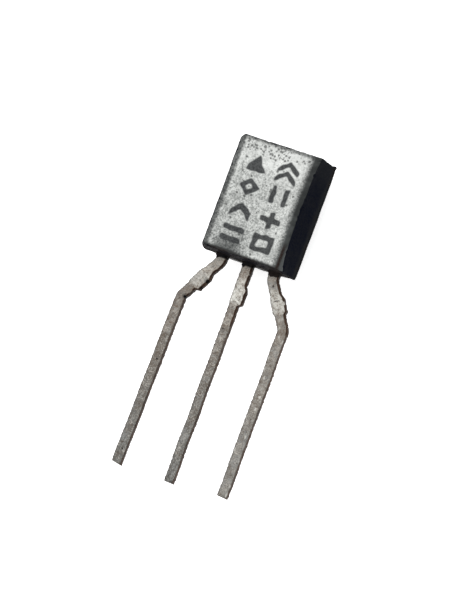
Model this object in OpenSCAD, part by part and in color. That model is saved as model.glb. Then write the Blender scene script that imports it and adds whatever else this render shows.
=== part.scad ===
// A small-signal transistor in a TO-92 package, with its leads cropped and splayed to a wide hole pitch.
// The moulded epoxy body is closed round a stamped three-lead frame, a silicon chip on its pad, the
// solder under the chip and two bond wires. All lengths are in millimetres, all angles in degrees.
// It lies on its round back: +X across the marking face, +Y from the lead tips to the body's top,
// +Z out of the marking face. X = 0 is the middle lead's centre line, and the back touches Z = 0.

/* [Body] */
// Width over the round back, which is a half circle up to the parting line
body_w = 4.52; // [3.8:0.02:5.6]
// Depth of the drafted front half, from the parting line to the marking face
front_d = 1.68; // [1.3:0.02:2]
// Height from the seating face to the top
body_h = 5.28; // [4.34:0.02:6.3]
// Draft of the two flat sides in front of the parting line
side_draft = 12; // [6:0.5:20]
// Draft of the two ends behind the parting line
end_draft = 3; // [1:0.5:6]
// Radius along the two upright edges of the marking face
face_edge_r = 0.14; // [0.08:0.01:0.3]
// Radius along the top and bottom edges of the marking face
face_end_r = 0.12; // [0.05:0.01:0.2]
// Radius where the round back meets the two ends
back_end_r = 0.3; // [0.15:0.01:0.4]
// Radius of the outline's four corners, seen from the front
corner_r = 0.14; // [0.08:0.01:0.25]

/* [Moulding marks] */
// How far the flash stands out of the parting line
flash_w = 0.03; // [0.01:0.005:0.06]
// Thickness of the flash
flash_t = 0.05; // [0.03:0.005:0.1]
// How far the resin runs down each lead below the seating face
collar_h = 0.18; // [0.1:0.01:0.25]
// Resin beside each lead at the seating face
collar_side = 0.1; // [0.06:0.01:0.14]
// Resin in front of and behind each lead at the seating face
collar_face = 0.05; // [0.03:0.01:0.1]
// Resin left round each lead at the collar's thin end
collar_lip = 0.02; // [0.01:0.005:0.03]

/* [Lead frame] */
// Thickness of the strip that the leads are stamped from
strip_t = 0.4; // [0.32:0.01:0.5]
// Middle of the strip above the parting line, towards the marking face
strip_rise = 0; // [-0.1:0.01:0.1]
// Centre distance between neighbouring leads where they leave the body
root_pitch = 1.27; // [1.05:0.01:1.55]
// How far the lead frame sits to the right of the body's centre line
frame_shift = 0.085; // [0:0.005:0.15]
// Lead width from the seating face to the end of the dam bar stubs
root_w = 0.48; // [0.44:0.01:0.64]
// Lead width below the dam bar stubs
tail_w = 0.42; // [0.37:0.01:0.55]
// Distance along each lead from the seating face to its dam bar stubs
stub_at = 1.18; // [0.9:0.01:1.35]
// Length of the dam bar stubs along the lead
stub_len = 0.85; // [0.65:0.01:0.95]
// Length of the sloped ends of each stub
stub_ramp = 0.12; // [0.05:0.01:0.16]
// How far the stub on each lead's right edge stands out
stub_right = 0.095; // [0.04:0.005:0.1]
// How far the stub on each lead's left edge stands out
stub_left = 0.012; // [0.005:0.001:0.04]

/* [Splayed leads] */
// Straight length of the outer leads before their first bend
bend_at = 0.25; // [0.2:0.01:0.5]
// Centre line radius of the first bend
upper_bend_r = 0.42; // [0.35:0.01:0.6]
// Centre line radius of the second bend
lower_bend_r = 0.4; // [0.35:0.01:0.8]
// Splay of the left lead between its bends
left_splay = 29.5; // [24:0.5:35]
// Splay of the right lead between its bends
right_splay = 31.5; // [25:0.5:37.5]
// Distance of the left lead from the middle lead, just below its second bend
left_spread = 2.42; // [2.1:0.01:2.9]
// Distance of the right lead from the middle lead, just below its second bend
right_spread = 2.52; // [2.11:0.01:3.05]
// Outward lean left in the left lead below its second bend
left_lean = 0.8; // [0:0.1:2]
// Reach of the left and middle leads below the seating face
lead_reach = 10.5; // [8.7:0.05:15]
// How much shorter the right lead was cropped
right_short = 0.17; // [0:0.01:0.5]
// Slant of the left lead's cropped end
left_crop = 10; // [0:1:15]
// Slant of the middle lead's cropped end
middle_crop = 3; // [0:1:15]
// Slant of the right lead's cropped end
right_crop = 5; // [0:1:15]

/* [Inside the body] */
// Resin above the lead frame's highest edge
top_cover = 1.25; // [1:0.05:1.5]
// Gap between neighbouring pieces of the lead frame
inner_gap = 0.3; // [0.2:0.01:0.36]
// Height of the chip pad on the collector lead
pad_h = 1.6; // [1.3:0.05:1.95]
// Width of the base lead's bond post
post_w = 0.84; // [0.7:0.01:1]
// Height of the bond posts' heads
post_h = 0.7; // [0.55:0.01:0.8]
// How far the emitter lead's bond post stands out past its root
post_flare = 0.12; // [0.05:0.01:0.2]
// Height of the locking notches above the seating face
lock_at = 0.6; // [0.45:0.01:0.75]
// Radius of the locking notches in the outer leads
lock_r = 0.12; // [0.08:0.01:0.16]
// Edge of the square chip
die_w = 0.5; // [0.4:0.01:0.62]
// Thickness of the chip
die_t = 0.2; // [0.16:0.01:0.25]
// Thickness of the solder under the chip
solder_t = 0.02; // [0.015:0.001:0.03]
// Fillet of solder that shows round the chip
solder_rim = 0.04; // [0.02:0.005:0.08]
// Bond wire diameter
wire_d = 0.03; // [0.025:0.001:0.04]
// Height of the bond wires' loops above a straight line between their ends
wire_loop = 0.26; // [0.2:0.01:0.32]
// Radius of the ball at the chip end of a bond wire
ball_r = 0.045; // [0.035:0.001:0.06]

/* [Hidden] */

$fn = 96;
// Most that an outline's small arcs turn between two of their points
arc_step = 7.5;

back_r = body_w / 2;
parting_z = back_r;
body_d = parting_z + front_d;
face_half = back_r - front_d * tan(side_draft);
strip_z = parting_z + strip_rise - strip_t / 2;
strip_top = strip_z + strip_t;
// The object's middle along Y is Y = 0
seat_y = (lead_reach - body_h - flash_w) / 2;

stub_end = stub_at + stub_len;
pad_top = body_h - top_cover;
pad_bottom = pad_top - pad_h;
pad_left = -root_pitch - root_w / 2;
pad_right = root_pitch - root_w / 2 - inner_gap;
base_top = pad_bottom - inner_gap;
emitter_top = pad_top - inner_gap;
pad_chamfer = inner_gap;

die_x = (pad_left + pad_right) / 2;
die_y = (pad_bottom + pad_top) / 2;
die_z = strip_top + solder_t;
die_top = die_z + die_t;
ball_h = wire_d;
stitch_t = wire_d * 2 / 3;
stitch_len = wire_d * 3;
// The bond pads lie a quarter of the chip's edge from its middle
bond_step = die_w / 4;
base_bond = [die_x + bond_step, die_y - bond_step, die_top + ball_h];
emitter_bond = [die_x + bond_step, die_y + bond_step, die_top + ball_h];
base_stitch = [0, base_top - post_h / 2, strip_top + stitch_t];
emitter_stitch = [root_pitch, emitter_top - post_h / 2, strip_top + stitch_t];
wire_steps = 8;

// Shapes swept along one axis, from a flat outline of the other two
module along_y(from, to) {
    translate([0, to, 0]) rotate([90, 0, 0]) linear_extrude(to - from) children();
}

module along_x(from, to) {
    translate([from, 0, 0]) rotate([90, 0, 90]) linear_extrude(to - from) children();
}

module along_z(from, to) {
    translate([0, 0, from]) linear_extrude(to - from) children();
}

function unit(v) = v / norm(v);

// Directions from corner i of a closed outline to the corners before and after it, and half its angle
function before(p, i) = unit(p[(i + len(p) - 1) % len(p)] - p[i]);
function after(p, i) = unit(p[(i + 1) % len(p)] - p[i]);
function half_angle(p, i) = acos(before(p, i) * after(p, i)) / 2;

// Points round corner i at radius r, from one tangent point to the other
function corner_arc(p, i, r) =
    let (half = half_angle(p, i),
        centre = p[i] + unit(before(p, i) + after(p, i)) * r / sin(half),
        first = p[i] + before(p, i) * r / tan(half) - centre,
        start = atan2(first[1], first[0]),
        n = ceil((180 - 2 * half) / arc_step))
    [for (k = [0:n]) centre + r * [cos(start + (180 - 2 * half) * k / n),
        sin(start + (180 - 2 * half) * k / n)]];

// A convex outline, its corners listed anticlockwise. Corner i has radius r[i], or is sharp where that is 0.
module rounded(p, r) {
    polygon([for (i = [0:len(p) - 1]) each r[i] == 0 ? [p[i]] : corner_arc(p, i, r[i])]);
}

// A lead's path is a list of stretches [length, turn]. It sets off down the page from [x, 0], and a
// positive turn swings it to the right. A pose is [x, y, heading], the heading counted from straight down.
function turn_r(s) = s[0] / (s[1] * PI / 180);
function along(pose, s, d) =
    let (h = pose[2], turned = h + s[1] * d / s[0])
    s[1] == 0 ? [pose[0] + d * sin(h), pose[1] - d * cos(h), h]
    : [pose[0] + turn_r(s) * (cos(h) - cos(turned)), pose[1] - turn_r(s) * (sin(turned) - sin(h)), turned];
function pose_at(path, d, pose, i = 0) = i == len(path) - 1 || d <= path[i][0]
    ? along(pose, path[i], d) : pose_at(path, d - path[i][0], along(pose, path[i], path[i][0]), i + 1);

// The point at distance d along a path from x, moved aside to the right (to the left where negative)
function spot(x, path, d, aside) = let (p = pose_at(path, d, [x, 0, 0]))
    [p[0] + aside * cos(p[2]), p[1] + aside * sin(p[2])];

function path_len(path, upto) = upto == 0 ? 0 : path[upto - 1][0] + path_len(path, upto - 1);

// Distances at which a bend's edge has a point, every arc_step or less
function stations(path) = [for (i = [0:len(path) - 1]) if (path[i][1] != 0)
    let (n = ceil(abs(path[i][1]) / arc_step))
    for (k = [0:n]) path_len(path, i) + path[i][0] * k / n];

// One edge of a lead: knots are [distance, half width], and the width runs straight between them
function edge(x, path, knots, side) = [for (k = [0:len(knots) - 1]) each [
    spot(x, path, knots[k][0], side * knots[k][1]),
    for (d = stations(path)) if (k < len(knots) - 1 && d > knots[k][0] && d < knots[k + 1][0])
        spot(x, path, d, side * lookup(d, knots))]];

function bend(r, angle) = [r * abs(angle) * PI / 180, angle];

// Path of an outer lead: side is -1 for left and 1 for right. The slope's length follows from how far
// the lead has to move over, and the tail's from how far it reaches.
function slope_len(splay, lean, over) =
    (over - upper_bend_r * (1 - cos(splay)) - lower_bend_r * (cos(lean) - cos(splay))) / sin(splay);
function tail_len(splay, lean, over, reach) =
    (reach - bend_at - upper_bend_r * sin(splay) - slope_len(splay, lean, over) * cos(splay)
        - lower_bend_r * (sin(splay) - sin(lean))) / cos(lean);
function outer_path(side, splay, lean, over, reach) = [
    [bend_at, 0],
    bend(upper_bend_r, side * splay),
    [slope_len(splay, lean, over), 0],
    bend(lower_bend_r, side * (lean - splay)),
    [tail_len(splay, lean, over, reach), 0]];

// Half widths along one edge: the wide root, the dam bar stub, then the narrower tail
function edge_knots(stub, end) = [
    [0, root_w / 2],
    [stub_at, root_w / 2],
    [stub_at + stub_ramp, root_w / 2 + stub],
    [stub_end - stub_ramp, root_w / 2 + stub],
    [stub_end, tail_w / 2],
    [end, tail_w / 2]];

// Outline of a lead below the seating face. The cropped end's right corner is the lower one.
module lead_outline(x, path, crop) {
    end = path_len(path, len(path));
    left = edge(x, path, edge_knots(stub_left, end - tail_w * tan(crop)), -1);
    right = edge(x, path, edge_knots(stub_right, end), 1);
    polygon([each left, for (i = [len(right) - 1:-1:0]) right[i]]);
}

module die_pad_outline() {
    difference() {
        union() {
            translate([pad_left, 0]) square([root_w, pad_bottom + pad_chamfer]);
            polygon([[pad_left, pad_bottom], [pad_right, pad_bottom],
                [pad_right, pad_top - pad_chamfer], [pad_right - pad_chamfer, pad_top],
                [pad_left, pad_top]]);
        }
        translate([pad_left, lock_at]) circle(lock_r);
    }
}

module emitter_post_outline() {
    right = root_pitch + root_w / 2;
    difference() {
        union() {
            translate([root_pitch - root_w / 2, 0]) square([root_w, emitter_top]);
            translate([right - root_w, emitter_top - post_h]) square([root_w + post_flare, post_h]);
        }
        translate([right, lock_at]) circle(lock_r);
    }
}

module base_post_outline() {
    translate([-root_w / 2, 0]) square([root_w, base_top]);
    translate([-post_w / 2, base_top - post_h]) square([post_w, post_h]);
}

left_path = outer_path(-1, left_splay, left_lean, left_spread - root_pitch, lead_reach);
middle_path = [[lead_reach, 0]];
right_path = outer_path(1, right_splay, 0, right_spread - root_pitch, lead_reach - right_short);

// Places what is drawn with the seating face at Y = 0
module seated() {
    translate([0, seat_y, 0]) children();
}

module stamped() {
    along_z(strip_z, strip_top) children();
}

module collector_lead() {
    color([0.62, 0.59, 0.55]) seated() stamped() {
        lead_outline(-root_pitch, left_path, left_crop);
        die_pad_outline();
    }
}

module base_lead() {
    color([0.6, 0.57, 0.53]) seated() stamped() {
        lead_outline(0, middle_path, middle_crop);
        base_post_outline();
    }
}

module emitter_lead() {
    color([0.64, 0.61, 0.57]) seated() stamped() {
        lead_outline(root_pitch, right_path, right_crop);
        emitter_post_outline();
    }
}

module die_block(edge, from, to) {
    seated() translate([die_x - edge / 2, die_y - edge / 2, from]) cube([edge, edge, to - from]);
}

module die_solder() {
    color([0.75, 0.75, 0.78]) die_block(die_w + 2 * solder_rim, strip_top, die_z);
}

module silicon_die() {
    color([0.3, 0.32, 0.38]) die_block(die_w, die_z, die_top);
}

// Point on a bond wire's loop, t from 0 at the chip to 1 at the post
function loop_point(a, b, t) = a + (b - a) * t + [0, 0, 4 * wire_loop * t * (1 - t)];

module rod(a, b) {
    v = b - a;
    translate(a) rotate([0, acos(v[2] / norm(v)), atan2(v[1], v[0])])
        cylinder(h = norm(v), d = wire_d, $fn = 8);
}

// Ball on the chip, eight-sided wire in short lengths, and a flattened stitch on the post
module bond_wire(a, b) {
    lap = wire_d / 8;
    heading = atan2(b[1] - a[1], b[0] - a[0]);
    seated() {
        translate([a[0], a[1], a[2] - ball_h]) cylinder(r = ball_r, h = ball_h, $fn = 8);
        for (i = [0:wire_steps - 1]) {
            p = loop_point(a, b, i / wire_steps);
            q = loop_point(a, b, (i + 1) / wire_steps);
            rod(p - unit(q - p) * (i == 0 ? 0 : lap), q + unit(q - p) * lap);
        }
        translate([b[0], b[1], b[2] - stitch_t]) rotate(heading)
            translate([-stitch_len / 2, -wire_d, 0]) cube([stitch_len, 2 * wire_d, stitch_t]);
    }
}

module base_wire() {
    color([0.9, 0.75, 0.35]) bond_wire(base_bond, base_stitch);
}

module emitter_wire() {
    color([0.9, 0.75, 0.35]) bond_wire(emitter_bond, emitter_stitch);
}

// D section, seen along the leads: half round behind the parting line, drafted sides in front of it
module d_section() {
    intersection() {
        translate([0, back_r]) circle(back_r);
        translate([-back_r, 0]) square([body_w, parting_z]);
    }
    rounded([[-back_r, parting_z], [back_r, parting_z], [face_half, body_d], [-face_half, body_d]],
        [0, 0, face_edge_r, face_edge_r]);
}

// Side outline, Y across and Z up: square ends in front, drafted ends with round edges behind
module side_outline() {
    lean = parting_z * tan(end_draft);
    rounded([[lean, 0], [body_h - lean, 0], [body_h, parting_z], [body_h, body_d], [0, body_d],
        [0, parting_z]], [back_end_r, back_end_r, 0, face_end_r, face_end_r, 0]);
}

// Outline seen from the front, grown by a margin all round
module front_outline(margin) {
    x = back_r + margin;
    rounded([[-x, -margin], [x, -margin], [x, body_h + margin], [-x, body_h + margin]],
        [corner_r, corner_r, corner_r, corner_r]);
}

module resin_block() {
    intersection() {
        along_y(0, body_h) d_section();
        along_x(-back_r, back_r) side_outline();
        along_z(0, body_d) front_outline(0);
    }
}

module flash() {
    along_z(parting_z - flash_t / 2, parting_z + flash_t / 2) front_outline(flash_w);
}

// Resin that ran down a lead, thinner towards its lower end
module collar(x) {
    wide = root_w / 2 + collar_side;
    thin = root_w / 2 + collar_lip;
    lip = collar_face - collar_lip;
    translate([x, 0, 0]) intersection() {
        along_z(strip_z - collar_face, strip_top + collar_face)
            polygon([[-wide, 0], [-thin, -collar_h], [thin, -collar_h], [wide, 0]]);
        along_x(-wide, wide) polygon([[0, strip_z - collar_face], [-collar_h, strip_z - collar_face + lip],
            [-collar_h, strip_top + collar_face - lip], [0, strip_top + collar_face]]);
    }
}

module moulded_body() {
    color([0.11, 0.11, 0.13]) difference() {
        seated() {
            translate([-frame_shift, 0, 0]) {
                resin_block();
                flash();
            }
            for (x = [-root_pitch, 0, root_pitch]) collar(x);
        }
        collector_lead();
        base_lead();
        emitter_lead();
        die_solder();
        silicon_die();
        base_wire();
        emitter_wire();
    }
}

moulded_body();
collector_lead();
base_lead();
emitter_lead();
silicon_die();
die_solder();
base_wire();
emitter_wire();
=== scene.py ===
import math

import bpy
import numpy as np
from mathutils import Matrix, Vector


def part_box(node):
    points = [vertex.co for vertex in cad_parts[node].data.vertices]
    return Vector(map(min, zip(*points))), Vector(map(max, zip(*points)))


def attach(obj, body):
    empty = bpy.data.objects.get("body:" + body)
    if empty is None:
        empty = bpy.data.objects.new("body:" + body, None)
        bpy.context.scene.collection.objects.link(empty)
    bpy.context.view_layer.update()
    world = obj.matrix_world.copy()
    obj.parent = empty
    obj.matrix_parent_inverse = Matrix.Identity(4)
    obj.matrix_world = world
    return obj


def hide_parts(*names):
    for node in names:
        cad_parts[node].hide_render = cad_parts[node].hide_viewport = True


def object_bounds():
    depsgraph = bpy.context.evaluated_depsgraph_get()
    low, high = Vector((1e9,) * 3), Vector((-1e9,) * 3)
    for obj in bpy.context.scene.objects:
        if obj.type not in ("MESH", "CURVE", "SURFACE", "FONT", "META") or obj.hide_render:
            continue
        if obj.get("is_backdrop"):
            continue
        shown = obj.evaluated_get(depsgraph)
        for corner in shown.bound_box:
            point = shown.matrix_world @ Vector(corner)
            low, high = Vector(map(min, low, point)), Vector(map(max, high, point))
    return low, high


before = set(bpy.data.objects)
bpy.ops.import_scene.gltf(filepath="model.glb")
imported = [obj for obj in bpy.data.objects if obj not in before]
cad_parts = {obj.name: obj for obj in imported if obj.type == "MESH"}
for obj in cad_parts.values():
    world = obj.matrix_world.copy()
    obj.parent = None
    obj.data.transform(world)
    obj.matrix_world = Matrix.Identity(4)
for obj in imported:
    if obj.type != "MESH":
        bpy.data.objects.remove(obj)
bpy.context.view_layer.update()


# ---- The studio ----------------------------------------------------------------------------------
# The transistor lies on its round back on a plain white table, lit faintly from below so that no shadow
# shows. One wide softbox hangs over the marking face and a white room fills the rest. A long lens looks
# down on the face from a little to its right.
MM = 0.001
scene = bpy.context.scene
scene.view_settings.view_transform = "Standard"

# Direction of the camera: degrees round from the lead tips towards +X, degrees above the table, and the
# turn about the line of sight that leans the body's top to the right
azimuth, elevation, roll = np.radians([68.44, 76.53, 20.34])
focal_length = 250.0
aim = np.array([-0.479, 0.662, 2.31]) * MM
camera_distance = 186.86 * MM

toward = np.array([math.sin(azimuth) * math.cos(elevation),
                   -math.cos(azimuth) * math.cos(elevation), math.sin(elevation)])
level_up = np.array([0.0, 1.0, 0.0]) - toward[1] * toward
level_up /= np.linalg.norm(level_up)
level_right = np.cross(level_up, toward)
right = math.cos(roll) * level_right + math.sin(roll) * level_up
up = math.cos(roll) * level_up - math.sin(roll) * level_right

camera = bpy.data.objects.new("camera", bpy.data.cameras.new("camera"))
camera.data.lens = focal_length
camera.data.clip_start = 10 * MM
camera.matrix_world = Matrix.Translation(aim + toward * camera_distance) @ Matrix(
    np.stack([right, up, toward], axis=1).tolist()).to_4x4()
scene.collection.objects.link(camera)
scene.camera = camera


def add(tree, kind, inputs=(), **settings):
    """Adds a shader node. inputs pairs a socket's name or number with its value, or with the output
    that feeds it."""
    made = tree.nodes.new("ShaderNode" + kind)
    for setting, value in settings.items():
        setattr(made, setting, value)
    for socket, value in dict(inputs).items():
        if isinstance(value, bpy.types.NodeSocket):
            tree.links.new(value, made.inputs[socket])
        else:
            made.inputs[socket].default_value = value
    return made


def finish_of(name, **constants):
    """A new material with one Principled BSDF, its constant values set on the shader's own sockets.
    Returns the material, its node tree and the shader."""
    material = bpy.data.materials.new(name)
    material.use_nodes = True
    tree = material.node_tree
    tree.nodes.clear()
    shader = add(tree, "BsdfPrincipled", {k.replace("_", " "): v for k, v in constants.items()})
    add(tree, "OutputMaterial", {"Surface": shader.outputs[0]})
    return material, tree, shader


table_half = 600.0
table = bpy.data.objects.new("table", bpy.data.meshes.new("table"))
table.data.from_pydata([(x * MM, y * MM, 0) for x, y in (
    (-table_half, -table_half), (table_half, -table_half),
    (table_half, table_half), (-table_half, table_half))], [], [(0, 1, 2, 3)])
white_table, _, _ = finish_of("white table", Base_Color=(0.8, 0.8, 0.8, 1), Roughness=0.9,
                              Specular_IOR_Level=0.0, Emission_Color=(1, 1, 1, 1),
                              Emission_Strength=0.65)
table.data.materials.append(white_table)
scene.collection.objects.link(table)
table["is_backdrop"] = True

# The softbox hangs to the left and beyond the body's top, tipped towards it, first about X and then about Y
softbox_w = 260.0
softbox_watts = 0.62
softbox_place = np.array([-50.0, 60.0, 300.0]) * MM
tip_x, tip_y = math.radians(-11), math.radians(-9)
softbox = bpy.data.objects.new("softbox", bpy.data.lights.new("softbox", "AREA"))
softbox.data.shape = "DISK"
softbox.data.size = softbox_w * MM
softbox.data.energy = softbox_watts
softbox.matrix_world = (Matrix.Translation(softbox_place) @ Matrix.Rotation(tip_x, 4, "X")
                        @ Matrix.Rotation(tip_y, 4, "Y"))
scene.collection.objects.link(softbox)

room = bpy.data.worlds.new("white room")
room.use_nodes = True
room.node_tree.nodes["Background"].inputs["Color"].default_value = (1, 1, 1, 1)
room.node_tree.nodes["Background"].inputs["Strength"].default_value = 0.75
scene.world = room


# ---- Moulded body --------------------------------------------------------------------------------
# The body is black epoxy resin, transfer moulded round the lead frame in a two-part mould. The round
# back draws out along the axis of its half circle, and the front half has drafted sides. A ragged flash
# is left where the mould halves met.
flash_w = 0.03
flash_t = 0.05
collar_h = 0.18
front_d = 1.68
side_draft = math.radians(12)
end_draft = math.radians(3)
face_edge_r = 0.14

body_low, body_high = (np.array(corner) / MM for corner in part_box("moulded_body"))
body_x = (body_low[0] + body_high[0]) / 2
back_r = (body_high[0] - body_low[0]) / 2 - flash_w
parting_z = back_r
face_z = body_high[2]
seat_y = body_low[1] + collar_h
body_h = body_high[1] - flash_w - seat_y
face_half = back_r - front_d * math.tan(side_draft)


def ripple(points, size, seed):
    """Smooth random relief with a mean of 0 and a spread of about 1: the sum of 24 cosine waves of random
    heading and phase, whose wavelengths lie round the given size."""
    rng = np.random.default_rng(seed)
    heading = rng.normal(size=(24, points.shape[-1]))
    heading *= (2 * np.pi / size * rng.uniform(0.6, 1.5, 24) / np.linalg.norm(heading, axis=1))[:, None]
    return np.cos(points @ heading.T + rng.uniform(0, 2 * np.pi, 24)).sum(-1) / math.sqrt(12)


def ease(value, low, high):
    """0 up to low, 1 from high on, and the smooth cubic 3t^2 - 2t^3 between them."""
    t = np.clip((value - low) / (high - low), 0, 1)
    return t * t * (3 - 2 * t)


def closed_tube(name, rings, first_pole, last_pole, values, material, node):
    """A closed surface: rings of points (rows x columns x 3, in mm), joined row to row and round each
    row, with a fan of triangles from the first and last rings to their poles. Columns run anticlockwise
    as seen from the first row's side. values are named numbers, one per ring point, kept as attributes."""
    rows, columns = rings.shape[:2]
    index = np.arange(rows * columns).reshape(rows, columns)
    here, there = index, np.roll(index, -1, axis=1)
    quads = np.stack([here[:-1], here[1:], there[1:], there[:-1]], -1).reshape(-1, 4)
    first = np.stack([here[0], there[0], np.full(columns, rows * columns)], -1)
    last = np.stack([there[-1], here[-1], np.full(columns, rows * columns + 1)], -1)
    points = np.concatenate([rings.reshape(-1, 3), [first_pole, last_pole]]) * MM
    mesh = bpy.data.meshes.new(name)
    mesh.from_pydata(points, [], quads.tolist() + first.tolist() + last.tolist())
    mesh.polygons.foreach_set("use_smooth", np.ones(len(mesh.polygons), bool))
    for title, value in values.items():
        padded = np.concatenate([value.ravel(), value[0, :1], value[-1, :1]]).astype(np.float32)
        mesh.attributes.new(title, "FLOAT", "POINT").data.foreach_set("value", padded)
    mesh.materials.append(material)
    piece = bpy.data.objects.new(name, mesh)
    scene.collection.objects.link(piece)
    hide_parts(node)
    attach(piece, "root")


def half_d_section():
    """Half of the D section as (x, z), from the middle of the back to the middle of the marking face:
    a quarter circle, four lines of the flash, the drafted side, the edge's arc and half the face.
    The second result marks the flash's two outer lines with 1."""
    low = math.asin(flash_t / 2 / back_r)
    turn = np.linspace(-np.pi / 2, -low, 30)
    back = np.stack([back_r * np.cos(turn), parting_z + back_r * np.sin(turn)], -1)
    ridge = np.stack([np.full(3, back_r), parting_z + flash_t * np.array([-1, 1, 3]) / 6], -1)
    tangent = face_edge_r * math.tan((np.pi / 2 - side_draft) / 2)
    corner = np.array([face_half - tangent, face_z - face_edge_r])
    turn = np.linspace(side_draft, np.pi / 2, 9)
    arc = corner + face_edge_r * np.stack([np.cos(turn), np.sin(turn)], -1)
    side = ridge[-1] + (arc[0] - ridge[-1]) * np.linspace(0, 1, 12)[1:-1, None]
    face = np.stack([np.linspace(arc[-1, 0], 0, 60)[1:], np.full(59, face_z)], -1)
    outline = np.concatenate([back, ridge, side, arc, face])
    on_flash = np.zeros(len(outline))
    on_flash[len(back):len(back) + 2] = 1
    return outline, on_flash


def mirrored(half, signs):
    """Carries a half outline's rows on round to the other side, without repeating its two ends."""
    return np.concatenate([half, half[-2:0:-1] * signs])


half, half_flash = half_d_section()
section = mirrored(half, (-1, 1))
on_flash = mirrored(half_flash, 1)
tangent = np.roll(section, -1, axis=0) - np.roll(section, 1, axis=0)
outward = np.stack([tangent[:, 1], -tangent[:, 0]], -1) / np.linalg.norm(tangent, axis=1)[:, None]

# Each row of points has a scale towards the end's middle, an inset in end radii, and a height: so many
# end radii from the bottom plus a share of the straight length between the two end roundings
cap = np.linspace(0.04, 1, 14)[:-1]
turn = np.linspace(0, np.pi / 2, 8)
straight = np.linspace(0, 1, 200)[1:-1]
sides = np.ones(len(turn) + len(straight) + len(turn))
row_scale = np.concatenate([cap, sides, cap[::-1]])
row_inset = np.concatenate([cap * 0 + 1, 1 - np.sin(turn), straight * 0, 1 - np.sin(turn[::-1]),
                            cap * 0 + 1])
row_radii = np.concatenate([cap * 0, 1 - np.cos(turn), straight * 0 + 1, 1 + np.cos(turn[::-1]),
                            cap * 0 + 2])
row_share = np.concatenate([cap * 0, turn * 0, straight, turn * 0 + 1, cap * 0 + 1])

# The two ends are rounded most on the back, more at the left corners than along the face, and hardly at
# all on the right side
back_end_r, left_end_r, face_end_r, right_end_r = 0.3, 0.28, 0.1, 0.04
front_end_r = np.interp(section[:, 0], [-face_half, 0.2 - face_half, face_half - 0.3, face_half],
                        [left_end_r, face_end_r, face_end_r, right_end_r])
end_r = front_end_r + (back_end_r - front_end_r) * ease(parting_z - section[:, 1], 0, 0.3 * parting_z)
inset = row_inset[:, None, None] * end_r[:, None] * outward
flat = section - inset
deep = np.clip(flat[..., 1] - parting_z, -flash_t / 2, flash_t / 2)
skin = np.empty(flat.shape[:2] + (3,))
skin[..., 0] = flat[..., 0] * row_scale[:, None]
skin[..., 1] = end_r * row_radii[:, None] + (body_h - 2 * end_r) * row_share[:, None]
skin[..., 2] = parting_z + deep + (flat[..., 1] - parting_z - deep) * row_scale[:, None]

# Outward direction of each point: the section's own along the body, and along Y on the two ends
lift = np.empty_like(skin)
lift[..., [0, 2]] = outward * (1 - row_inset)[:, None, None]
lift[..., 1] = (row_radii - 1)[:, None]

# The flash is ragged, with a torn tip at the top right; worn edges are nibbled; the resin shrank a little.
# Each is a depth times how near a point lies to the place, exp(-(distance / reach) squared).
torn_tip, nibble_depth, shrink_depth = 0.045, 0.022, 0.004
flash_now = flash_w * (0.8 + 0.4 * np.clip(ripple(skin, 0.5, 1), -1, 1))
at_tip = np.exp(-((skin[..., 0] - back_r) ** 2 + (skin[..., 1] - body_h) ** 2) / 0.1 ** 2)
off_rim = (np.abs(skin[..., 0]) - face_half) ** 2 + (skin[..., 2] - face_z) ** 2
off_end = np.minimum(skin[..., 1], body_h - skin[..., 1])
worn_edge = np.clip(1.3 * np.exp(-off_rim / 0.16 ** 2) + np.exp(-(off_end / 0.1) ** 2), 0, 1)
nibble = nibble_depth * worn_edge * np.clip(ripple(skin, 0.28, 2) - 0.5, 0, 2)
shrink = shrink_depth * ripple(skin, 0.9, 3)
skin += lift * (on_flash * (flash_now + torn_tip * at_tip) + (1 - on_flash) * (shrink - nibble))[..., None]

# Draft of the two ends behind the parting line, the waist that shrinking left in the face's right edge, and
# the slight flare of its left edge. halfway runs from -1 at the seat to 1 at the top.
behind = np.clip(parting_z - skin[..., 2], 0, None)
skin[..., 1] = body_h / 2 + (skin[..., 1] - body_h / 2) * (1 - 2 * math.tan(end_draft) * behind / body_h)
halfway = 2 * skin[..., 1] / body_h - 1
drawn_in, seat_out, top_out = 0.128, 0.183, 0.14
waist = drawn_in - seat_out * np.exp(-4.6 * (1 + halfway)) - top_out * np.exp(-4.3 * (1 - halfway))
flare = 0.025 + 0.015 * ease(halfway, 0, 0.6)
skin[..., 0] -= waist * ease(skin[..., 2], parting_z, face_z) * np.clip(skin[..., 0] / face_half, 0, 1) ** 2
skin[..., 0] += flare * np.clip(skin[..., 0] / face_half, -1, 0)

# The body stands a little out of square: its top rises, more to the right, and its seat sags
top_rise, top_slant, seat_sag = 0.035, 0.016, 0.03
rise = top_rise + top_slant * np.clip(skin[..., 0], -1.2, 1.2)
skin[..., 1] += rise * ease(skin[..., 1], 0.6 * body_h, body_h)
skin[..., 1] -= seat_sag * ease(skin[..., 1], 0.4 * body_h, 0)

# How strong the marking face's painted sheen is, a pale reflection painted into its colour: it ends short
# of the face's edges, furthest short of the right one, and is smudged at the lower left. front is 1 on the
# face and 0 on the sides.
across, along = skin[..., 0], skin[..., 1]
face_sheen = ((0.16 + 0.84 * ease(across + face_half, 0.13, 0.3))
         * ease(1.58 + 0.06 * np.abs(halfway) - across, -0.02, 0.38)
         * ease(along - 0.07 * np.exp(-((across + 0.9) / 0.6) ** 2), 0, 0.17)
         * (0.22 + 0.78 * ease(body_h - along, 0.04, 0.22)))
smudge = (0.84 * np.exp(-(((across + 0.85) / 0.7) ** 4 + ((along - 0.26) / 0.4) ** 2))
          + 0.2 * np.exp(-(((across + 0.5) / 0.45) ** 2 + ((along - 0.95) / 0.4) ** 2)))
face_sheen *= (1 - smudge) * ease(skin[..., 2], face_z - 0.06, face_z - 0.01)
front = ease(skin[..., 2], face_z - 0.06, face_z - 0.035)
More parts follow.
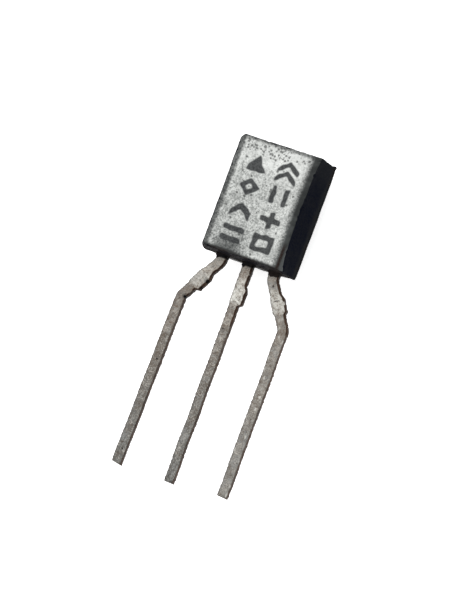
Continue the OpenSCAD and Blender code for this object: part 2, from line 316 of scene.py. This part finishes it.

# Hairline scratches in the painted sheen: where each starts and ends, its width, and how much of the sheen
# it took.
# The distance from a scratch is taken to the nearest point of its line.
for start, finish, scratch_w, taken in (
        ((-1.44, 3.92), (-1.32, 3.65), 0.036, 0.8), ((-0.3, 1.4), (-0.28, 0.62), 0.036, 0.55),
        ((-0.08, 4.07), (-0.14, 3.8), 0.032, 0.45), ((0.28, 0.5), (0.6, 0.46), 0.032, 0.45)):
    way = np.subtract(finish, start)
    reached = np.clip((skin[..., :2] - start) @ way / (way @ way), 0, 1)
    off_line = skin[..., :2] - start - reached[..., None] * way
    face_sheen *= 1 - taken * np.exp(-(off_line ** 2).sum(-1) / scratch_w ** 2)


# The print is two rows of plain stamped shapes, in dark ink, that run up the face
def bar(p, half_x, half_y):
    """Distance outside a rectangle, measured along X or Y."""
    return np.maximum(np.abs(p[..., 0]) - half_x, np.abs(p[..., 1]) - half_y)


def rhombus(p, half_x, half_y):
    """Distance outside a rhombus: how far |x|/a + |y|/b passes 1, at right angles to its sides."""
    return (np.abs(p[..., 0]) / half_x + np.abs(p[..., 1]) / half_y - 1) * (
        half_x * half_y / math.hypot(half_x, half_y))


def triangle(p, half_x, height):
    """Distance outside a triangle that stands on a base of twice half_x: the larger of how far a point
    lies below the base and beyond the nearer slope."""
    beyond = (np.abs(p[..., 0]) * height + (p[..., 1] - height / 2) * half_x) / math.hypot(half_x, height)
    return np.maximum(beyond, -p[..., 1] - height / 2)


def chevron(p, half_x, rise, stroke):
    """Distance outside a bent band that rises by rise from its ends to its middle."""
    slope = rise / half_x
    off = np.abs(p[..., 1] - rise / 2 + slope * np.abs(p[..., 0])) / math.hypot(1, slope) - stroke / 2
    return np.maximum(off, np.abs(p[..., 0]) - half_x)


stroke = 0.25
half_mark = 0.5
wobble = np.stack([ripple(skin, 0.35, 4), ripple(skin, 0.35, 5)], -1)
face_points = skin[..., :2] + 0.018 * wobble
marks = np.full(skin.shape[:2], np.inf)
for row_x, place_y, shape in (
        (-0.8, 0.83, lambda p: np.minimum(bar(p - (0, 0.25), half_mark, stroke / 2),
                                          bar(p + (0, 0.25), half_mark, stroke / 2))),
        (-0.8, 1.93, lambda p: chevron(p, half_mark, 0.5, stroke)),
        (-0.8, 3.07, lambda p: np.maximum(rhombus(p, half_mark, 0.44), -rhombus(p, 0.2, 0.17))),
        (-0.8, 4.2, lambda p: triangle(p, half_mark, 0.8)),
        (0.64, 0.83, lambda p: np.maximum(bar(p, half_mark, 0.4), -bar(p, 0.26, 0.16))),
        (0.64, 1.93, lambda p: np.minimum(bar(p, half_mark, stroke / 2), bar(p, stroke / 2, 0.4))),
        (0.64, 3.07, lambda p: np.minimum(bar(p - (0.3, 0), 0.12, 0.42), bar(p + (0.3, 0), 0.12, 0.42))),
        (0.64, 4.2, lambda p: np.minimum(chevron(p - (0, 0.2), half_mark, 0.4, 0.2),
                                         chevron(p + (0, 0.24), half_mark, 0.4, 0.2)))):
    marks = np.minimum(marks, shape(face_points - (row_x, place_y)))
ink = ease(-marks, -0.02, 0.02) * (skin[..., 2] > face_z - 0.05)

# The ink bled: each round averages every point with its neighbours along and across the face
for _ in range(5):
    for axis in (0, 1):
        ink = (np.roll(ink, 1, axis) + 2 * ink + np.roll(ink, -1, axis)) / 4


def shader_group(name, inputs, output):
    """A node group with number inputs and the vector Place, and one number output. Returns the group
    and its input and output nodes."""
    group = bpy.data.node_groups.new(name, "ShaderNodeTree")
    group.interface.new_socket(name="Place", in_out="INPUT", socket_type="NodeSocketVector")
    for title, value in inputs.items():
        group.interface.new_socket(name=title, in_out="INPUT",
                                   socket_type="NodeSocketFloat").default_value = value
    group.interface.new_socket(name=output, in_out="OUTPUT", socket_type="NodeSocketFloat")
    return group, group.nodes.new("NodeGroupInput"), group.nodes.new("NodeGroupOutput")


def calc(tree, operation, a, b=0.0):
    return add(tree, "Math", {0: a, 1: b}, operation=operation).outputs[0]


def product(tree, a, b):
    return calc(tree, "MULTIPLY", a, b)


def span(tree, value, low, high, to_low=0.0, to_high=1.0):
    """Carries a value from the range low to high smoothly onto to_low to to_high, and holds it beyond."""
    return add(tree, "MapRange", {"Value": value, "From Min": low, "From Max": high, "To Min": to_low,
                                  "To Max": to_high}, interpolation_type="SMOOTHSTEP").outputs[0]


def mix(tree, factor, a, b):
    """Colour a where the factor is 0 and colour b where it is 1."""
    colours = {6 + i: c if isinstance(c, bpy.types.NodeSocket) else (*c, 1) for i, c in enumerate((a, b))}
    return add(tree, "Mix", {0: factor, **colours}, data_type="RGBA").outputs[2]


def value_of(tree, title):
    return add(tree, "Attribute", attribute_name=title).outputs["Fac"]


def ragged(tree, title, noise, depth):
    """The mask of that name, 0 to 1, moved up and down by noise where it lies between the two."""
    mask = value_of(tree, title)
    between = product(tree, mask, calc(tree, "SUBTRACT", 1.0, mask))
    moved = product(tree, product(tree, between, noise), depth)
    return add(tree, "Math", {0: mask, 1: moved}, operation="ADD", use_clamp=True).outputs[0]


def scaled(tree, vector, factor):
    return add(tree, "VectorMath", {0: vector, "Scale": factor}, operation="SCALE").outputs[0]


def place_in_mm(tree):
    return scaled(tree, add(tree, "TexCoord").outputs["Object"], 1 / MM)


# Cloudy variation with fine grain in it: noise of the given grain size, and noise six times as coarse
mottle, given, result = shader_group("mottle", {"Grain": 0.1, "Clouding": 0.5}, "Value")
tree = mottle
fine_place = scaled(tree, given.outputs["Place"], calc(tree, "DIVIDE", 1.0, given.outputs["Grain"]))
fine = add(tree, "TexNoise", {"Vector": fine_place, "Scale": 1.0, "Detail": 3.0, "Roughness": 0.6})
coarse = add(tree, "TexNoise", {"Vector": fine_place, "Scale": 0.17, "Detail": 2.0})
blend = add(tree, "Mix", {0: given.outputs["Clouding"], 2: fine.outputs[0], 3: coarse.outputs[0]})
tree.links.new(blend.outputs[0], result.inputs[0])

# Small roundish specks: the place is bent by noise and cut into cells of the given spacing. The given
# share of cells hold a speck, whose edge fades from its radius to half of it.
specks, given, result = shader_group("specks", {"Spacing": 0.2, "Share": 0.3, "Radius": 0.3}, "Mask")
tree = specks
cell_place = scaled(tree, given.outputs["Place"], calc(tree, "DIVIDE", 1.0, given.outputs["Spacing"]))
bend = scaled(tree, add(tree, "TexNoise", {"Vector": cell_place, "Scale": 2.3}).outputs[1], 0.5)
bent = add(tree, "VectorMath", {0: cell_place, 1: bend}, operation="ADD").outputs[0]
cells = add(tree, "TexVoronoi", {"Vector": bent, "Scale": 1.0})
drawn = add(tree, "SeparateColor", {0: cells.outputs["Color"]}).outputs[0]
held = calc(tree, "LESS_THAN", drawn, given.outputs["Share"])
near = span(tree, cells.outputs["Distance"], given.outputs["Radius"],
            product(tree, given.outputs["Radius"], 0.5))
tree.links.new(product(tree, held, near), result.inputs[0])


def grouped(tree, group, place, **values):
    made = add(tree, "Group", node_tree=group)
    for title, value in {"Place": place, **values}.items():
        if isinstance(value, bpy.types.NodeSocket):
            tree.links.new(value, made.inputs[title])
        else:
            made.inputs[title].default_value = value
    return made.outputs[0]


epoxy, tree, shader = finish_of("black epoxy", Specular_IOR_Level=0.005, Coat_Roughness=0.45)
place = place_in_mm(tree)
far_across, high, above = add(tree, "SeparateXYZ", {0: place}).outputs
top = seat_y + body_h
grain = grouped(tree, mottle, place, Grain=0.075, Clouding=0.2)
clouds = grouped(tree, mottle, place, Grain=0.35, Clouding=0.5)
uneven = calc(tree, "SUBTRACT", grain, 0.5)

# The sides are nearly black with a blue cast. Painted sheen makes them greyer towards the back and the top,
# and brownish in clouds about the parting line, where the side curves into the round back.
navy = mix(tree, span(tree, grain, 0.4, 0.6), (0.0010, 0.0020, 0.0066), (0.0052, 0.0058, 0.0082))
greyer = calc(tree, "MAXIMUM", span(tree, above, parting_z + 0.15, parting_z + 0.5, 1.0, 0.0),
              span(tree, high, top - 1.6, top - 0.3, 0.0, 0.7))
side_colour = mix(tree, greyer, navy, (0.0084, 0.0092, 0.0108))
wear_and_sheen = product(tree, span(tree, above, parting_z, parting_z + 0.5, 0.8, 0.0),
                 span(tree, clouds, 0.45, 0.6))
side_colour = mix(tree, wear_and_sheen, side_colour, (0.013, 0.0105, 0.0095))

# The face's rim outside the painted sheen is dark grey, a painted reflection off its rounded edges. Low on
# the right it has a brown line, and beyond that a paler strip that is a painted highlight along the edge.
rim_colour = mix(tree, span(tree, clouds, 0.4, 0.65), (0.028, 0.030, 0.030), (0.056, 0.060, 0.059))
near_seat = span(tree, high, seat_y + 0.8, seat_y + 1.3, 1.0, 0.0)
brown_line = product(tree, span(tree, far_across, 1.46, 1.56), span(tree, far_across, 1.6, 1.7, 1.0, 0.0))
brown_line = product(tree, product(tree, near_seat, brown_line), span(tree, grain, 0.42, 0.52, 0.3, 1.0))
rim_colour = mix(tree, brown_line, rim_colour, (0.020, 0.013, 0.011))
lower_right = product(tree, near_seat, span(tree, far_across, 1.62, 1.72))
rim_colour = mix(tree, product(tree, lower_right, 0.5), rim_colour, (0.085, 0.090, 0.090))

# A brown stain in clouds along the seat, up to the right edge. Its dark brown is also painted shade on the
# face's bottom band, which turns away from the light.
seat_stain_and_shade = product(tree, span(tree, high, seat_y + 0.02, seat_y + 0.12, 1.0, 0.0),
                span(tree, clouds, 0.45, 0.65, 0.1, 0.9))
seat_stain_and_shade = product(tree, seat_stain_and_shade, span(tree, far_across, 1.6, 1.8, 1.0, 0.0))

# The painted sheen is grainy and pale, painted brighter on the right and towards the top where more light
# falls, and duller in clouds. Fine specks lie all over it and dark ones crowd its top, most on the left.
pale = mix(tree, span(tree, grain, 0.38, 0.6), (0.24, 0.249, 0.24), (0.57, 0.585, 0.565))
upper = product(tree, span(tree, high, top - 2.2, top - 0.5, 0.0, 0.55),
                span(tree, far_across, -1.6, -0.4, 0.5, 1.0))
brighter = calc(tree, "MAXIMUM", span(tree, far_across, -0.2, 1.0, 0.0, 0.17), upper)
pale = mix(tree, brighter, pale, (0.80, 0.815, 0.795))
duller = product(tree, span(tree, clouds, 0.42, 0.6, 1.0, 0.0), 0.2)
pale = mix(tree, duller, pale, (0.2, 0.205, 0.197))
fine_specks = grouped(tree, specks, place, Spacing=0.08, Share=0.3, Radius=0.5)
pale = mix(tree, product(tree, fine_specks, 0.45), pale, (0.13, 0.135, 0.13))
top_share = product(tree, span(tree, high, top - 0.8, top - 0.4, 0.04, 0.85),
                    span(tree, far_across, -0.4, 0.7, 1.0, 0.5))
dark_specks = grouped(tree, specks, place, Spacing=0.13, Share=top_share, Radius=0.58)
pale = mix(tree, product(tree, dark_specks, 0.78), pale, (0.07, 0.073, 0.071))

# Over the side's colour come the rim with its painted reflection, the painted highlight where the two meet
# low on the right, the stain with its painted shade, the painted sheen and the ink
front_now = value_of(tree, "front")
colour = mix(tree, front_now, side_colour, rim_colour)
meeting = product(tree, product(tree, front_now, calc(tree, "SUBTRACT", 1.0, front_now)), 3.0)
colour = mix(tree, product(tree, meeting, lower_right), colour, (0.11, 0.116, 0.116))
colour = mix(tree, seat_stain_and_shade, colour, (0.022, 0.017, 0.0155))
colour = mix(tree, ragged(tree, "face_sheen", uneven, 4.5), colour, pale)
ink_colour = mix(tree, span(tree, grain, 0.35, 0.65), (0.030, 0.032, 0.033), (0.062, 0.065, 0.066))
ink_now = span(tree, calc(tree, "ADD", value_of(tree, "ink"), product(tree, uneven, 0.5)), 0.2, 0.8)
colour = mix(tree, product(tree, ink_now, 0.97), colour, ink_colour)
tree.links.new(colour, shader.inputs["Base Color"])
tree.links.new(span(tree, clouds, 0.3, 0.7, 0.45, 0.6), shader.inputs["Roughness"])
tree.links.new(span(tree, above, parting_z - 0.6, parting_z - 0.1, 0.25, 0.0), shader.inputs["Coat Weight"])
relief = calc(tree, "SUBTRACT", grain, product(tree, dark_specks, 0.6))
bump = add(tree, "Bump", {"Height": relief, "Distance": 0.006 * MM, "Strength": 0.9})
tree.links.new(bump.outputs[0], shader.inputs["Normal"])

skin += (body_x, seat_y, 0)
end_middle = np.array([body_x, seat_y, parting_z])
closed_tube("body_skin", skin, end_middle - (0, flash_w, 0), end_middle + (0, body_h + flash_w, 0),
            {"face_sheen": face_sheen, "front": front, "ink": ink}, epoxy, "moulded_body")


# ---- Leads ---------------------------------------------------------------------------------------
# The three leads are one stamping of tin-plated copper alloy strip until the dam bars between them are
# cut, which leaves a stub on each edge. The outer leads are then splayed and all three cropped by hand.
# The punched edges are bare metal, browned by the air.
strip_t = 0.4
strip_z = parting_z
roll_over = 0.06
burr_r = 0.025

root_pitch = 1.27
root_w = 0.48
tail_w = 0.42
stub_at, stub_len, stub_ramp = 1.18, 0.85, 0.12
stub_right, stub_left = 0.095, 0.012
root_more, root_more_at = 0.025, 0.3
lead_reach = 10.5
right_short = 0.17
bend_at, upper_bend_r, lower_bend_r = 0.25, 0.42, 0.4
left_splay, left_lean, left_spread = 29.5, 0.8, 2.42
right_splay, right_lean, right_spread = 31.5, 0, 2.52
left_crop, middle_crop, right_crop = 10, 3, 5

inner_gap = 0.3
top_cover = 1.25
pad_h = 1.6
pad_top = body_h - top_cover
pad_bottom = pad_top - pad_h
base_top = pad_bottom - inner_gap
emitter_top = pad_top - inner_gap
post_w, post_h, post_flare = 0.84, 0.7, 0.12
lock_at, lock_r = 0.6, 0.12
sharp = 0.004
station_step = 0.03


def splayed(splay, lean, over, reach):
    """Where an outer lead's heading changes, as distances along it and headings from straight down, and
    its length. The slope is as long as moving over needs, and the tail as long as the reach needs."""
    splay, lean = math.radians(splay), math.radians(lean)
    slope = (over - upper_bend_r * (1 - math.cos(splay))
             - lower_bend_r * (math.cos(lean) - math.cos(splay))) / math.sin(splay)
    tail = (reach - bend_at - upper_bend_r * math.sin(splay) - slope * math.cos(splay)
            - lower_bend_r * (math.sin(splay) - math.sin(lean))) / math.cos(lean)
    knots = np.cumsum([bend_at, upper_bend_r * splay, slope, lower_bend_r * (splay - lean)])
    return knots, np.array([0, splay, splay, lean]), knots[-1] + tail


def strip_section():
    """Columns of the strip's cross section, anticlockwise as seen from the tips: the front face from
    right to left, the left edge with its punched roll-over and burred corner, the back, the right edge.
    Each has a share of the way from left to right, an edge radius, a step in radii, a height, and how
    much of it is punched edge."""
    turn = np.linspace(0, np.pi / 2, 6)
    down = np.linspace(1, 0, 9)[1:-1]
    half_t = strip_t / 2
    radius = np.concatenate([turn * 0 + roll_over, burr_r + (roll_over - burr_r) * down, turn * 0 + burr_r])
    step = np.concatenate([np.sin(turn), down * 0 + 1, np.cos(turn)])
    z = np.concatenate([half_t - roll_over * (1 - np.cos(turn)),
                        (half_t - roll_over) * down - (half_t - burr_r) * (1 - down),
                        -half_t + burr_r * (1 - np.sin(turn))])
    punched = np.concatenate([np.sin(turn) ** 2, down * 0 + 1, np.cos(turn)])
    front, back = np.linspace(1, 0, 16)[1:-1], np.linspace(0, 1, 10)[1:-1]
    none_front, none_back = front * 0, back * 0
    return (np.concatenate([front, radius * 0, back, radius * 0 + 1]),
            np.concatenate([none_front + roll_over, radius, none_back + burr_r, radius[::-1]]),
            np.concatenate([none_front, -step, none_back, step[::-1]]),
            np.concatenate([none_front + half_t, z, none_back - half_t, z[::-1]]),
            np.concatenate([none_front, punched, none_back, punched[::-1]]))


strip_share, edge_r, edge_step, section_z, punched = strip_section()


def stamped_lead(name, node, root_x, bends, outline, notched, crop, seed, flaws, material):
    """A lead from its cropped tip to its end inside the body: the strip's section carried along a path
    that bends in the strip's own plane. outline gives the half widths left and right of the path at
    distances along it, negative inside the body. notched is the side with the locking notch. flaws lists
    dents and stains: (distance below the seat, shift to the right, length, width, depth, darkness)."""
    knots, headings, end = bends
    distance, left_w, right_w = np.array(outline).T
    stations = np.unique(np.concatenate([np.arange(distance[0], end, station_step), distance, knots,
                                         end - station_step * np.arange(8)]))[::-1]
    stations = stations[stations <= end]
    s = np.repeat(stations[:, None], len(strip_share), axis=1)
    notch = np.sqrt(np.clip(lock_r ** 2 - (-s - lock_at) ** 2, 0, None))
    left = np.interp(s, distance, left_w) - notch * (notched < 0)
    right = np.interp(s, distance, right_w) - notch * (notched > 0)
    aside = -left + edge_r + (left + right - 2 * edge_r) * strip_share + edge_r * edge_step

    # The cropped end slants, its right corner lower, and the cutters pinched it a little
    near_end = ease(s, end - 0.4, end)
    s = s - (right - aside) * math.tan(math.radians(crop)) * near_end
    pinch = 1 - 0.22 * ease(s, end - 0.09, end) ** 2

    fine = np.linspace(0, end, 6000)
    turn = np.interp(fine, knots, headings)
    pace = fine[1] - fine[0]
    run_x = np.concatenate([[0], np.cumsum(np.sin((turn[1:] + turn[:-1]) / 2)) * pace])
    run_y = np.concatenate([[0], np.cumsum(-np.cos((turn[1:] + turn[:-1]) / 2)) * pace])
    heading = np.interp(s, knots, headings)
    x = root_x + np.interp(s, fine, run_x)
    y = seat_y + np.interp(s, fine, run_y) - np.clip(s, None, 0)
    outside = ease(s, 0.1, 0.5)

    # Hand-bent waviness, torn edges, and the dents and scrapes of the tools
    plan = np.stack([s, aside, section_z + 0 * s], -1)
    aside = aside + outside * (0.006 * ripple(plan[..., :1], 2.6, seed)
                               + 0.007 * punched * ripple(plan, 0.16, seed + 1) * np.sign(aside))
    z = section_z * pinch + outside * 0.01 * ripple(plan[..., :1], 3.4, seed + 2)
    stub_zone = ease(s, stub_at - 0.85, stub_at + 0.1) * ease(stub_at + stub_len + 0.15 - s, 0, 0.35)
    scrape = stub_zone * np.clip(0.72 + 0.2 * ripple(plan, 0.22, seed + 3), 0, 1)
    front_side = section_z > 0
    z = z - front_side * scrape * 0.012 * (1 + 0.4 * ripple(plan, 0.13, seed + 4))
    z = z - front_side * outside * 0.006 * np.clip(ripple(plan, 0.3, seed + 5) - 0.8, 0, 2)
    # Painted shade, near-black, lies on each lead's root just below the body; the flaws below add their
    # stains to the same mask
    stains_and_root_shade = np.exp(-((s - 0.05) / 0.18) ** 2)

    # Near the body the edge's bare metal reaches over the worn front corner on the right
    wear_and_sheen = ease(strip_share, 0.86, 1) * front_side * ease(3.6 - s, 0, 1.2)
    wear_and_sheen = wear_and_sheen * (1 + 0.3 * ripple(plan, 0.3, seed + 6))
    bare = np.maximum(punched, np.clip(wear_and_sheen, 0, 1))
    for below, shift, long, wide, depth, dark in flaws:
        at = np.interp(below, -run_y, fine)
        dent = np.exp(-((s - at) / long) ** 2 - ((aside - shift) / wide) ** 2)
        z = z - front_side * depth * dent
        aside = aside - punched * np.sign(shift) * 0.4 * depth * dent
        stains_and_root_shade = np.maximum(stains_and_root_shade, dark * dent)
    rings = np.stack([x + np.cos(heading) * aside, y + np.sin(heading) * aside, strip_z + z], -1)

    # The cut face of the tip is bare metal too: one more ring just inside its rim, all punched
    tip = rings[0].mean(0)
    rings = np.concatenate([tip + 0.93 * (rings[:1] - tip), rings])
    closed_tube(name, rings, tip, rings[-1].mean(0),
                {"bare": np.concatenate([bare[:1] * 0 + 1, bare]),
                 "scrape": np.concatenate([scrape[:1], scrape]),
                 "stains_and_root_shade": np.concatenate([stains_and_root_shade[:1], stains_and_root_shade])}, material, node)


def outline_below(end, stub_from, stub_more, tail_more):
    """Half widths from the seating face to the tip: the wide root, the dam bar's stubs, the tail. The
    punch left each lead a little wider than drawn: its root on the left, and its stubs and its tail, left
    and right, by stub_more and tail_more. The stubs widen from stub_from on."""
    root = root_w / 2
    stub_end = stub_at + stub_len
    stub = (root + stub_left + stub_more[0], root + stub_right + stub_more[1])
    tail = (tail_w / 2 + tail_more[0], tail_w / 2 + tail_more[1])
    return [(0, root, root), (root_more_at, root + root_more, root), (stub_from, root + root_more, root),
            (stub_at + stub_ramp, *stub), (stub_end - stub_ramp, *stub), (stub_end, *tail), (end, *tail)]


tinned, tree, shader = finish_of("tinned strip", Specular_IOR_Level=0.03)
place = place_in_mm(tree)
far_across, high = add(tree, "SeparateXYZ", {0: place}).outputs[:2]
off_middle = calc(tree, "ABSOLUTE", far_across)
grain = grouped(tree, mottle, place, Grain=0.05, Clouding=0.25)
clouds = grouped(tree, mottle, place, Grain=0.13, Clouding=0.4)
uneven = calc(tree, "SUBTRACT", grain, 0.5)

# The tin is dull grey, paler by the body and on the right lead, with tarnish in clouds, paler patches
# between them, and brown and pale grains
tin = mix(tree, span(tree, high, -7.5, -0.5), (0.095, 0.096, 0.090), (0.112, 0.101, 0.088))
near_body = product(tree, span(tree, high, -1.5, 2.2), span(tree, off_middle, 1.7, 2.6, 1.0, 0.6))
tin = mix(tree, near_body, tin, (0.228, 0.210, 0.184))
tin = mix(tree, span(tree, far_across, 1.2, 2.6, 0.0, 0.42), tin, (0.24, 0.226, 0.203))
tarnish = mix(tree, span(tree, high, -4.0, 0.5), (0.070, 0.060, 0.050), (0.078, 0.054, 0.039))
tin = mix(tree, span(tree, clouds, 0.36, 0.5, 0.75, 0.0), tin, tarnish)
tin = mix(tree, span(tree, clouds, 0.5, 0.62, 0.0, 0.6), tin, (0.185, 0.19, 0.188))
tin = mix(tree, span(tree, grain, 0.38, 0.49, 0.7, 0.0), tin, (0.066, 0.048, 0.036))
tin = mix(tree, span(tree, grain, 0.51, 0.62, 0.0, 0.8), tin, (0.28, 0.262, 0.238))

# Below the stubs it is blotched, brown and pale, most on the middle lead
below_stubs = product(tree, span(tree, high, 0.4, 0.8, 1.0, 0.0), span(tree, high, -2.2, -1.2))
below_stubs = product(tree, below_stubs, span(tree, off_middle, 0.5, 1.5, 0.6, 0.2))
blotches = grouped(tree, mottle, place, Grain=0.09, Clouding=0.6)
brown_blotch = product(tree, below_stubs, span(tree, blotches, 0.4, 0.5, 1.0, 0.0))
tin = mix(tree, brown_blotch, tin, (0.052, 0.038, 0.029))
pale_blotch = product(tree, below_stubs, span(tree, blotches, 0.54, 0.6))
tin = mix(tree, pale_blotch, tin, (0.31, 0.287, 0.256))

# Pale flecks, drawn out along the leads and strongest on the right one, and darker lower bends on the
# two outer leads
lengthwise = add(tree, "VectorMath", {0: place, 1: (1, 0.5, 1)}, operation="MULTIPLY").outputs[0]
flecks = grouped(tree, specks, lengthwise, Spacing=0.13, Share=0.22, Radius=0.5)
flecks = product(tree, flecks, span(tree, far_across, 1.5, 2.4, 0.2, 0.75))
tin = mix(tree, flecks, tin, (0.36, 0.355, 0.33))
outer_bends = product(tree, span(tree, high, -0.6, 0.1), span(tree, off_middle, 1.5, 2.1))
outer_bends = product(tree, outer_bends, span(tree, high, 0.6, 1.0, 0.35, 0.0))
tin = mix(tree, outer_bends, tin, (0.07, 0.056, 0.045))

# Round the stubs the tin is scraped clean: brightest on the middle lead, then the right, then the left
scraped = span(tree, calc(tree, "ADD", value_of(tree, "scrape"), product(tree, uneven, 2.4)), 0.15, 1.25)
fresh = mix(tree, span(tree, far_across, -1.5, -0.5), (0.34, 0.33, 0.305), (0.47, 0.465, 0.432))
fresh = mix(tree, span(tree, far_across, 0.5, 1.5), fresh, (0.385, 0.38, 0.352))
tin = mix(tree, scraped, tin, fresh)
spots = grouped(tree, specks, place, Spacing=0.2, Share=0.3, Radius=0.28)
tin = mix(tree, product(tree, spots, 0.6), tin, (0.05, 0.038, 0.030))

# The bare edges are brown, darker by the body. Over everything come the flaws' stains and the near-black
# painted shade on each lead's root.
bare = span(tree, calc(tree, "ADD", value_of(tree, "bare"), product(tree, uneven, 0.6)), 0.35, 0.7)
brown = mix(tree, span(tree, clouds, 0.35, 0.65), (0.022, 0.013, 0.009), (0.075, 0.045, 0.031))
brown = mix(tree, span(tree, high, -0.8, 0.6, 0.0, 0.3), brown, (0.010, 0.006, 0.004))
tin = mix(tree, bare, tin, brown)
shade_and_stain_mask = span(tree, value_of(tree, "stains_and_root_shade"), 0.3, 0.75)
tin = mix(tree, shade_and_stain_mask, tin, (0.004, 0.0035, 0.0035))
tree.links.new(tin, shader.inputs["Base Color"])
clean = calc(tree, "SUBTRACT", 1.0, calc(tree, "MAXIMUM", shade_and_stain_mask, bare))
tree.links.new(product(tree, clean, 0.5), shader.inputs["Metallic"])
tree.links.new(span(tree, clouds, 0.3, 0.7, 0.38, 0.55), shader.inputs["Roughness"])
relief = calc(tree, "SUBTRACT", grain, product(tree, spots, 0.5))
bump = add(tree, "Bump", {"Height": relief, "Distance": 0.006 * MM, "Strength": 0.8})
tree.links.new(bump.outputs[0], shader.inputs["Normal"])

left_bends = splayed(left_splay, left_lean, left_spread - root_pitch, lead_reach)
left_bends = (left_bends[0], -left_bends[1], left_bends[2])
right_bends = splayed(right_splay, right_lean, right_spread - root_pitch, lead_reach - right_short)
middle_bends = (np.array([0, 1]), np.array([0, 0]), lead_reach)

# The outline of each lead inside the body: the collector's pad, and the base's and the emitter's posts
half_root = root_w / 2
pad_reach = 2 * root_pitch - half_root - inner_gap
pad = [(-pad_top, half_root, pad_reach - inner_gap), (-pad_top + inner_gap, half_root, pad_reach),
       (-pad_bottom - sharp, half_root, pad_reach), (-pad_bottom, half_root, half_root)]
base_post = [(-base_top, post_w / 2, post_w / 2), (-base_top + post_h, post_w / 2, post_w / 2),
             (-base_top + post_h + sharp, half_root, half_root)]
emitter_post = [(-emitter_top, half_root, half_root + post_flare),
                (-emitter_top + post_h, half_root, half_root + post_flare),
                (-emitter_top + post_h + sharp, half_root, half_root)]

stamped_lead("collector_strip", "collector_lead", -root_pitch, left_bends,
             pad + outline_below(left_bends[2], 1.0, (0.055, 0.05), (0.045, 0)), -1, left_crop, 11, [
                 (1.26, 0.32, 0.1, 0.1, 0.12, 1.3), (1.6, 0.35, 0.12, 0.06, 0.06, 0.9),
                 (2.33, 0.17, 0.085, 0.1, 0.12, 1.4), (5.45, 0.02, 0.06, 0.06, 0.01, 0.9),
                 (9.76, 0.02, 0.06, 0.06, 0.01, 0.8)], tinned)
stamped_lead("base_strip", "base_lead", 0, middle_bends,
             base_post + outline_below(lead_reach, 1.05, (0, 0.035), (0.01, 0.01)), 0, middle_crop, 21, [
                 (3.2, -0.08, 0.06, 0.18, 0.012, 0.6), (3.24, 0.12, 0.05, 0.12, 0.008, 0.6),
                 (10.22, -0.07, 0.12, 0.08, 0.01, 0.55)], tinned)
stamped_lead("emitter_strip", "emitter_lead", root_pitch, right_bends,
             emitter_post + outline_below(right_bends[2], 1.05, (0.05, 0.015), (0.028, 0.028)), 1,
             right_crop, 31, [
                 (0.62, -0.02, 0.04, 0.04, 0.01, 0.85), (1.22, -0.02, 0.027, 0.22, 0.012, 0.85),
                 (10.24, 0.06, 0.04, 0.1, 0.01, 0.55)], tinned)


# ---- Resin round the lead roots ------------------------------------------------------------------
# A thin skirt of resin ran down each lead where the mould closed on it. It broke off raggedly and is
# longest at the left of each lead.
collar_side, collar_face = 0.1, 0.05
skirt_lip = 0.012
skirt_sunk = 0.02


def resin_skirt(name, root_x, reach, seed):
    """A skirt round a lead's root: rings a margin outside the strip, which thins from the seating face to
    a ragged lower edge, closed inside the lead. A ring is a rounded rectangle, its cosine and sine raised
    to a quarter power. reach scales the skirt's length."""
    turn = np.linspace(0, 2 * np.pi, 96, endpoint=False)
    unit_x = np.sign(np.cos(turn)) * np.abs(np.cos(turn)) ** 0.25
    unit_z = np.sign(np.sin(turn)) * np.abs(np.sin(turn)) ** 0.25
    down = np.linspace(1, 0, 14)[:, None]
    ragged = 0.7 + 0.3 * ripple(np.stack([unit_x, unit_z], -1), 1.1, seed) - 0.35 * unit_x
    length = collar_h * reach * np.clip(ragged, 0.25, 1.35)
    thin = (1 - down) ** 0.6
    half_x = root_w / 2 + skirt_lip + (collar_side - skirt_lip) * thin * (0.7 - 0.3 * unit_x)
    half_z = strip_t / 2 + skirt_lip + (collar_face - skirt_lip) * thin
    rings = np.stack([root_x + unit_x * half_x, seat_y - down * length + skirt_sunk * (1 - down),
                      strip_z + unit_z * half_z], -1)
    outwards = np.stack([unit_x, 0 * unit_x, unit_z], -1)
    rings += 0.008 * ripple(rings, 0.12, seed + 1)[..., None] * outwards
    inner = rings[0] * (0.6, 1, 0.6) + (0.4 * root_x, skirt_sunk, 0.4 * strip_z)
    rings = np.concatenate([inner[None], rings])
    nothing = np.zeros(rings.shape[:2])
    closed_tube(name, rings, inner.mean(0), rings[-1].mean(0) + (0, 0.05, 0),
                {"face_sheen": nothing, "front": nothing, "ink": nothing}, epoxy, "moulded_body")


for name, root_x, reach, seed in (("left_skirt", -root_pitch, 1.1, 41), ("middle_skirt", 0, 1.1, 44),
                                  ("right_skirt", root_pitch, 1.35, 47)):
    resin_skirt(name, root_x, reach, seed)


# ---- Chip, solder and bond wires -----------------------------------------------------------------
# Inside the resin a silicon chip is soldered to the collector's pad, and two gold wires join it to the
# base and emitter posts by a ball on the chip and a flattened stitch on the post.
for node, title, light, dark, metallic, roughness in (
        ("silicon_die", "silicon", (0.16, 0.17, 0.21), (0.09, 0.10, 0.14), 0.5, 0.2),
        ("die_solder", "solder", (0.62, 0.62, 0.64), (0.45, 0.45, 0.47), 1.0, 0.4),
        ("base_wire", "base wire gold", (0.9, 0.66, 0.25), (0.8, 0.56, 0.2), 1.0, 0.25),
        ("emitter_wire", "emitter wire gold", (0.9, 0.66, 0.25), (0.8, 0.56, 0.2), 1.0, 0.25)):
    material, tree, shader = finish_of(title, Metallic=metallic)
    cloud = grouped(tree, mottle, place_in_mm(tree), Grain=0.05, Clouding=0.5)
    tree.links.new(mix(tree, span(tree, cloud, 0.35, 0.65), dark, light), shader.inputs["Base Color"])
    tree.links.new(span(tree, cloud, 0.3, 0.7, roughness, roughness + 0.15), shader.inputs["Roughness"])
    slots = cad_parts[node].data.materials
    slots.clear()
    slots.append(material)


# ---- Size of the finished model --------------------------------------------------------------------
low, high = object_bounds()
